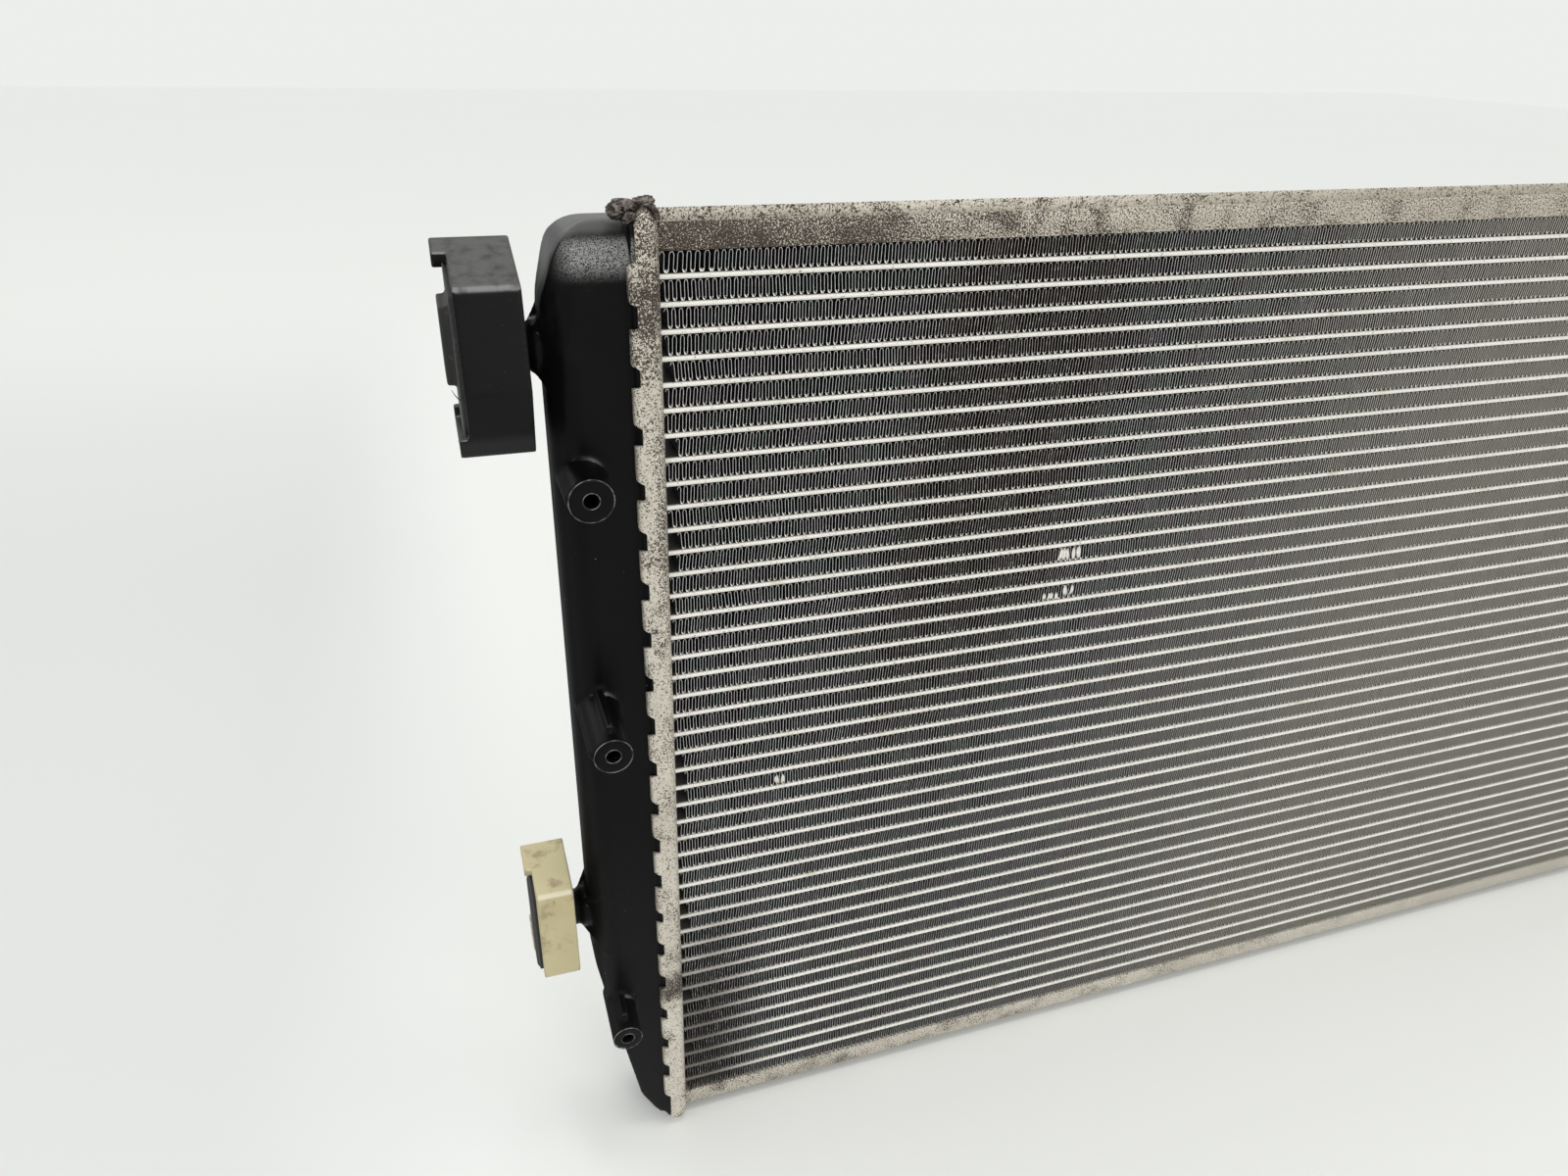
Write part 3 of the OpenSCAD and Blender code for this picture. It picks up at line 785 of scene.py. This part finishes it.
# Tabs on the plate's ends: how far from the middle, half their width, and where their feet end
END_TAB_Y, END_TAB, END_TAB_FOOT = 8 * MM, 4.4 * MM, 5.3 * MM
# How far the top end of the left plate is pushed in at the back, and from where to where
SUNK = 4.0 * MM
SUNK_FROM, SUNK_TO = -12 * MM, -5 * MM
# How far the flange reaches in over the core's side
FLANGE = 9.5 * MM
CORNER_STEPS = 8
OUTLINE_STEP = 0.8 * MM


def header_outline(step):
    """Points round the header plate: y, z, and the y and z of the outward direction."""
    half_d, half_h, r = HEADER_D / 2, HEADER_H / 2, HEADER_R
    out = []
    corners = [(half_d - r, half_h - r, 0), (-half_d + r, half_h - r, 90),
               (-half_d + r, -half_h + r, 180), (half_d - r, -half_h + r, 270)]
    for k, (cy, cz, start) in enumerate(corners):
        for i in range(CORNER_STEPS + 1):
            a = math.radians(start + 90 * i / CORNER_STEPS)
            out.append((cy + r * math.cos(a), cz + r * math.sin(a), math.cos(a), math.sin(a)))
        ny, nz, _ = corners[(k + 1) % 4]
        a = math.radians(start + 90)
        ny, nz = ny + r * math.cos(a), nz + r * math.sin(a)
        y, z = out[-1][0], out[-1][1]
        count = max(2, round(math.hypot(ny - y, nz - z) / step))
        for i in range(1, count):
            t = i / count
            out.append((y + (ny - y) * t, z + (nz - z) * t, math.cos(a), math.sin(a)))
    return [(y, z + half_h, ny, nz) for y, z, ny, nz in out]


def ramp(value, start, end):
    """0 at start, 1 at end, smooth in between."""
    t = min(1.0, max(0.0, (value - start) / (end - start)))
    return t * t * (3 - 2 * t)


def tab_share(y, z, nz, tabs, end_tabs):
    """How much of a tab stands at this point of the rim, from 0 to 1."""
    if abs(nz) > 0.9:
        best = 0.0
        for middle in end_tabs:
            best = max(best, 1 - ramp(abs(y - middle), END_TAB, END_TAB_FOOT))
        return best
    if abs(nz) > 0.1:
        return 0.0
    index = math.floor((FIRST_TAB - z) / TAB_PITCH)
    if index < 0 or index >= TAB_COUNT:
        return 0.0
    below = FIRST_TAB - index * TAB_PITCH - z
    top_cut, length, foot = tabs[index]
    return min(ramp(below, top_cut, top_cut + 0.5 * MM), 1 - ramp(below, length - foot, length))


def header_section(nz, share):
    """Outer outline of the plate in (outboard, inwards from the rim), for a share of a tab."""
    # The bend from flange to wall is larger at the plate's ends
    edge = (5 + 3 * nz * nz) * MM
    reach = (5 + 0.8 * nz * nz) * MM
    # Ends without a tab are rounded on their outer side too
    drop = 3.2 * MM * nz * nz * (1 - min(1, share * 4))
    points = [(0, FLANGE)]
    for i in range(6):
        a = math.pi / 2 * i / 5
        points.append((reach * (1 - math.cos(a)), edge * (1 - math.sin(a))))
    for i in range(1, 4):
        a = math.pi / 2 * i / 3
        points.append((RIM - 3 * MM * (1 - math.sin(a)), drop * (1 - math.cos(a))))
    # Along the tab: straight up, round its bend and down its lip
    bend = TAB_BEND
    rise = TAB_TOP - bend - RIM
    whole = rise + bend * math.pi / 2 + TAB_LIP
    for i in range(1, 9):
        s = max(share, 0.02) * whole * i / 8
        if s < rise:
            points.append((RIM + s, drop))
        elif s < rise + bend * math.pi / 2:
            a = (s - rise) / bend
            points.append((TAB_TOP - bend + bend * math.sin(a), drop + bend * (1 - math.cos(a))))
        else:
            points.append((TAB_TOP, drop + bend + s - rise - bend * math.pi / 2))
    return points


def round_end(z, u):
    """Draws the plate's ends in towards their corners, so that they look like a U from the front."""
    middle, radius = 4.5 * MM, 5.2 * MM
    lift = radius - math.sqrt(radius ** 2 - min(abs(u - middle), 4.5 * MM) ** 2)
    low = lift * (1 - ramp(z, 2 * MM, 13 * MM))
    high = lift * (1 - ramp(HEADER_H - z, 2 * MM, 13 * MM))
    return z + low - high


def thickened(points, thick):
    """The same outline moved inwards by the sheet's thickness."""
    p = np.array(points)
    step = np.gradient(p, axis=0)
    step /= np.linalg.norm(step, axis=1)[:, None]
    normal = np.stack([-step[:, 1], step[:, 0]], axis=1)
    return p + normal * thick


def uneven_tabs(rng):
    """Each tab's start, length and slanting foot in one row down the plate."""
    tabs = []
    for _ in range(TAB_COUNT):
        top_cut = rng.uniform(-0.5, 0.6) * MM
        length = TAB_LEN + rng.uniform(-1.2, 1.4) * MM
        foot = rng.uniform(2.4, 4.6) * MM
        tabs.append((top_cut, length, foot))
    return tabs


def header_corners(side, seed, point, share):
    """Corners round the sheet's section at one point of the plate's outline."""
    y, z, ny, nz = point
    section = header_section(nz, share)
    inner = thickened(section, SHEET)
    # The left plate's top end is pushed in, as in the photo
    sunk = 0.0
    if side < 0 and nz > 0:
        sunk = SUNK * nz * ramp(y, SUNK_FROM, SUNK_TO)
    corners = []
    for k, (u, d) in enumerate(section + [tuple(p) for p in inner[::-1]]):
        bulge = 0.0
        if 2 < k < len(section):
            bulge = 0.22 * MM * noise.noise((z * 90, y * 90, u * 120 + seed))
        d = d - bulge + sunk
        corners.append((side * (CORE_SIDE + u), y - ny * d, round_end(z - nz * d, u)))
    return corners


def header_plate(side, seed):
    """Pressed plate with rows of crimped tabs; side is -1 on the left and 1 on the right."""
    rng = random.Random(seed)
    name = "left_header_plate" if side < 0 else "right_header_plate"
    tabs = {row: uneven_tabs(rng) for row in (-1, 1)}
    # The end tabs of the left plate are torn away, as in the photo
    end_tabs = () if side < 0 else (-END_TAB_Y, END_TAB_Y)
    rings = []
    for point in header_outline(OUTLINE_STEP):
        y, z, _, nz = point
        share = tab_share(y, z, nz, tabs[-1 if y < 0 else 1], end_tabs)
        rings.append(header_corners(side, seed, point, share))
    count, ring_n = len(rings), len(rings[0])
    verts = [corner for corners in rings for corner in corners]
    faces = []
    for i in range(count):
        j = (i + 1) % count
        for k in range(ring_n):
            m = (k + 1) % ring_n
            quad = (i * ring_n + k, i * ring_n + m, j * ring_n + m, j * ring_n + k)
            faces.append(quad if side < 0 else quad[::-1])
    join(verts, faces, header_floor(side))
    piece = new_piece(name.replace("_plate", "_pressing"), verts, faces, [HEADER])
    take_over(piece, name, RADIATOR)


def header_floor(side):
    """Floor of the pressing, a thin block that closes the plate between the tubes."""
    y = HEADER_D / 2 - 8 * MM
    z0, z1 = 8 * MM, HEADER_H - 8 * MM
    x0, x1 = side * (CORE_SIDE + 0.02 * MM), side * (CORE_SIDE + SHEET)
    v = [(x, a, b) for x in (x0, x1) for a, b in ((-y, z0), (y, z0), (y, z1), (-y, z1))]
    f = [(0, 1, 2, 3), (7, 6, 5, 4), (0, 4, 5, 1), (1, 5, 6, 2), (2, 6, 7, 3), (3, 7, 4, 0)]
    return v, f


def lump(centre, radii, tilt, seed):
    """An uneven folded lobe of torn sheet; its centre and radii are in millimetres."""
    rows, cols = 26, 34
    verts, faces = [], []
    turn = Matrix.Rotation(math.radians(tilt), 3, "Y")
    for i in range(1, rows):
        a = math.pi * i / rows
        for j in range(cols):
            b = 2 * math.pi * j / cols
            p = Vector((math.sin(a) * math.cos(b), math.sin(a) * math.sin(b), math.cos(a)))
            crease = 0.28 - abs(noise.noise(p * 2.4 + Vector((seed, 0, 0)))) * 0.95
            crease -= abs(noise.noise(p * 5.5 + Vector((0, seed, 0)))) * 0.28
            q = turn @ Vector(p[k] * radii[k] * (0.9 + crease) for k in range(3))
            verts.append(tuple((q[k] + centre[k]) * MM for k in range(3)))
    for i in range(rows - 2):
        for j in range(cols):
            k = (j + 1) % cols
            faces.append((i * cols + j, (i + 1) * cols + j, (i + 1) * cols + k, i * cols + k))
    half = cols // 2
    for base, flip in ((0, False), ((rows - 2) * cols, True)):
        for j in range(half - 1):
            quad = (base + j, base + j + 1, base + cols - 2 - j, base + cols - 1 - j)
            faces.append(quad[::-1] if flip else quad)
    return verts, faces


def crumpled_ear():
    """The torn end of the left header plate, folded over the tank's shoulder."""
    lobes = [((-374.4, -15, 477.8), (3.3, 4.4, 2.8), 30, 1.0),
             ((-370.6, -17.5, 476.2), (3.0, 4, 1.7), -30, 2.0),
             ((-369.8, -15, 479.9), (4.4, 5, 1.8), 10, 3.0),
             ((-365.0, -14, 480.2), (4.8, 6, 1.9), -16, 4.0),
             ((-361.0, -15, 477.4), (1.7, 5, 3.4), -30, 5.0)]
    verts, faces = [], []
    for centre, radii, tilt, seed in lobes:
        join(verts, faces, lump(centre, radii, tilt, seed))
    piece = new_piece("left_header_torn_end", verts, faces, [EAR])
    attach(piece, RADIATOR)


def wisp(points, width):
    """A thin sliver of moulding flash along a few points in millimetres, pointed at its far end."""
    verts, faces = [], []
    for i, p in enumerate(points):
        w = width * (1 - 0.85 * i / (len(points) - 1))
        for dx, dz in ((-w, 0), (0, -w * 0.6), (w, 0), (0, w * 0.6)):
            verts.append(((p[0] + dx) * MM, p[1] * MM, (p[2] + dz) * MM))
    for i in range(len(points) - 1):
        for k in range(4):
            m = (k + 1) % 4
            faces.append((4 * i + k, 4 * i + m, 4 * i + 4 + m, 4 * i + 4 + k))
    last = len(verts) - 4
    faces += [(3, 2, 1, 0), (last, last + 1, last + 2, last + 3)]
    return verts, faces


def flash_wisps():
    """Two slivers of flash left on the rim of the upper left bracket."""
    low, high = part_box("upper_left_bracket")
    rim, front = low[0] / MM + 4.6, low[1] / MM + 3
    verts, faces = [], []
    for z, lean in ((low[2] / MM + 23, 1.0), (low[2] / MM + 10.5, -0.6)):
        curl = [(rim - 0.9 * i, front + 0.3 * i, z + lean * 0.25 * i * i) for i in range(5)]
        join(verts, faces, wisp(curl, 0.45))
    piece = new_piece("upper_left_bracket_flash", verts, faces, [BUSH])
    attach(piece, "upper_left_mount")


# ------------------------------------------------------------------ tanks, brackets and core

# Cell sizes of the grids that round the moulded pieces off, and the radius of the channels' edges
TANK_GRID = 1.0 * MM
BRACKET_GRID = 0.6 * MM
BUSH_GRID = 0.7 * MM
PLUG_GRID = 0.4 * MM
CHANNEL_EDGE = 0.5 * MM
# Thickness of the bosses' raised rims, and how deep they lie in the face
RIM_WIRE = 0.2 * MM
RIM_SUNK = 0.12 * MM


def paint(node, material):
    """Gives a CAD node that stays as it is its material."""
    mesh = frame["nodes"][node].data
    mesh.materials.clear()
    mesh.materials.append(material)


def tanks():
    """Both tanks, with the soft edges of a large moulding."""
    for side in ("left", "right"):
        moulded(f"{side}_tank", f"{side}_tank_moulding", TANK, RADIATOR, TANK_GRID)


def ring(centre, radius, wire, rows=56, cols=6):
    """A thin raised ring round a boss's face, on the plane across Y."""
    verts, faces = [], []
    for i in range(rows):
        a = 2 * math.pi * i / rows
        for j in range(cols):
            b = 2 * math.pi * j / cols
            r = radius + wire * math.cos(b)
            x, z = centre[0] + r * math.cos(a), centre[2] + r * math.sin(a)
            verts.append((x, centre[1] + wire * math.sin(b), z))
    for i in range(rows):
        for j in range(cols):
            k, m = (i + 1) % rows * cols, (j + 1) % cols
            faces.append((i * cols + j, k + j, k + m, i * cols + m))
    return verts, faces


def boss_rims():
    """Raised rims that the mould leaves round the faces and the holes of the screw bosses, bright with
    a painted highlight.
    """
    mounts = {m["name"]: m for m in frame["record"]["mounts"]}
    corner, middle = mounts["shroud_corner_holes"], mounts["shroud_middle_holes"]
    half = corner["dims"]["spacing_y_mm"] / 2 * MM
    reach = corner["dims"]["spacing_x_mm"] / 2 * MM
    _, corner_y, corner_z = corner["pos_m"]
    _, middle_y, middle_z = middle["pos_m"]
    # Each boss's y and z, and its radius in millimetres
    rows = [(corner_y, corner_z + half, 8.7),
            (middle_y, middle_z, 8.0),
            (corner_y, corner_z - half, 7.2)]
    hole = corner["dims"]["hole_r_mm"] * MM
    for side, x in (("left", -reach), ("right", reach)):
        verts, faces = [], []
        for y, z, radius in rows:
            for r in (radius * MM - 0.25 * MM, hole + 0.45 * MM):
                join(verts, faces, ring((x, y + RIM_SUNK, z), r, RIM_WIRE))
        piece = new_piece(f"{side}_tank_boss_rims", verts, faces, [RIM_PLASTIC])
        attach(piece, RADIATOR)


def brackets():
    """The four brackets and their rubber bushes, each pair on its own hinge."""
    for side in ("left", "right"):
        for height, material, slot in (("upper", BLACK, "black_bracket_plastic"),
                                       ("lower", CREAM, "cream_bracket_plastic")):
            body = f"{height}_{side}_mount"
            moulded(f"{height}_{side}_bracket", f"{height}_{side}_bracket_moulding", material, body,
                    BRACKET_GRID, passes=3)
            moulded(f"{height}_{side}_bush", f"{height}_{side}_bush_block", BUSH, body,
                    BUSH_GRID)


def core():
    """Tubes, side plates and seals, and the drain plug."""
    paint("flat_tubes", TUBE)
    for node in ("top_side_plate", "bottom_side_plate"):
        channel = node.replace("_plate", "_channel")
        bent_sheet(node, channel, PLATE, RADIATOR, CHANNEL_EDGE)
    for node in ("left_header_seal", "right_header_seal", "drain_seal"):
        paint(node, SEAL)
    moulded("drain_plug", "drain_plug_moulding", TANK, "drain_plug", PLUG_GRID, passes=3)


# ------------------------------------------------------------------ floor, light and camera


def floor():
    """A wide pale floor that is staging, not part of the radiator."""
    reach = 9.0
    ground = 0.0
    corners = ((-reach, -reach), (reach, -reach), (reach, reach), (-reach, reach))
    verts = [(x, y, ground) for x, y in corners]
    piece = new_piece("floor", verts, [(0, 1, 2, 3)], [pale_floor()], smooth=False)


def lamp(name, place, target, size, power):
    """A white soft box at place, turned towards target."""
    data = bpy.data.lights.new(name, "AREA")
    data.shape = "RECTANGLE"
    data.size, data.size_y = size
    data.energy = power
    made = bpy.data.objects.new(name, data)
    made.location = place
    made.rotation_euler = (Vector(target) - Vector(place)).to_track_quat("-Z", "Y").to_euler()
    bpy.context.scene.collection.objects.link(made)


def studio():
    """Even, faintly green-white light from all round, and two soft boxes."""
    world = bpy.data.worlds.new("studio")
    world.use_nodes = True
    sky = world.node_tree.nodes["Background"]
    sky.inputs["Color"].default_value = (0.93, 0.945, 0.93, 1)
    sky.inputs["Strength"].default_value = 0.91
    bpy.context.scene.world = world
    bpy.context.scene.view_settings.view_transform = "Standard"
    lamp("key", place=(0.4, -2.3, 1.5), target=(0.0, 0, 0.25), size=(1.0, 0.8), power=10)
    lamp("top", place=(-0.3, -0.1, 2.3), target=(-0.25, 0, 0.3), size=(0.8, 0.3), power=8)


# The camera fitted to the photo: lens and sensor in millimetres, its place in metres,
# and the directions that are right and up in the picture
LENS, SENSOR = 24.566, 36
CAMERA_PLACE = (-0.4395, -0.3986, 0.5377)
PICTURE_RIGHT = (0.9507, -0.3093, 0.0221)
PICTURE_UP = (0.1270, 0.4534, 0.8822)


def camera():
    """The photo's point of view."""
    data = bpy.data.cameras.new("camera")
    data.sensor_width = SENSOR
    data.lens = LENS
    made = bpy.data.objects.new("camera", data)
    right = Vector(PICTURE_RIGHT).normalized()
    up = Vector(PICTURE_UP)
    up = (up - right * up.dot(right)).normalized()
    back = right.cross(up)
    turn = Matrix((right, up, back)).transposed().to_4x4()
    made.matrix_world = Matrix.Translation(CAMERA_PLACE) @ turn
    bpy.context.scene.collection.objects.link(made)
    bpy.context.scene.camera = made


# Everything is built in this order
camera()
studio()
floor()
fins()
bent_fins()
header_plate(-1, seed=3)
header_plate(1, seed=4)
crumpled_ear()
core()
tanks()
boss_rims()
brackets()
flash_wisps()
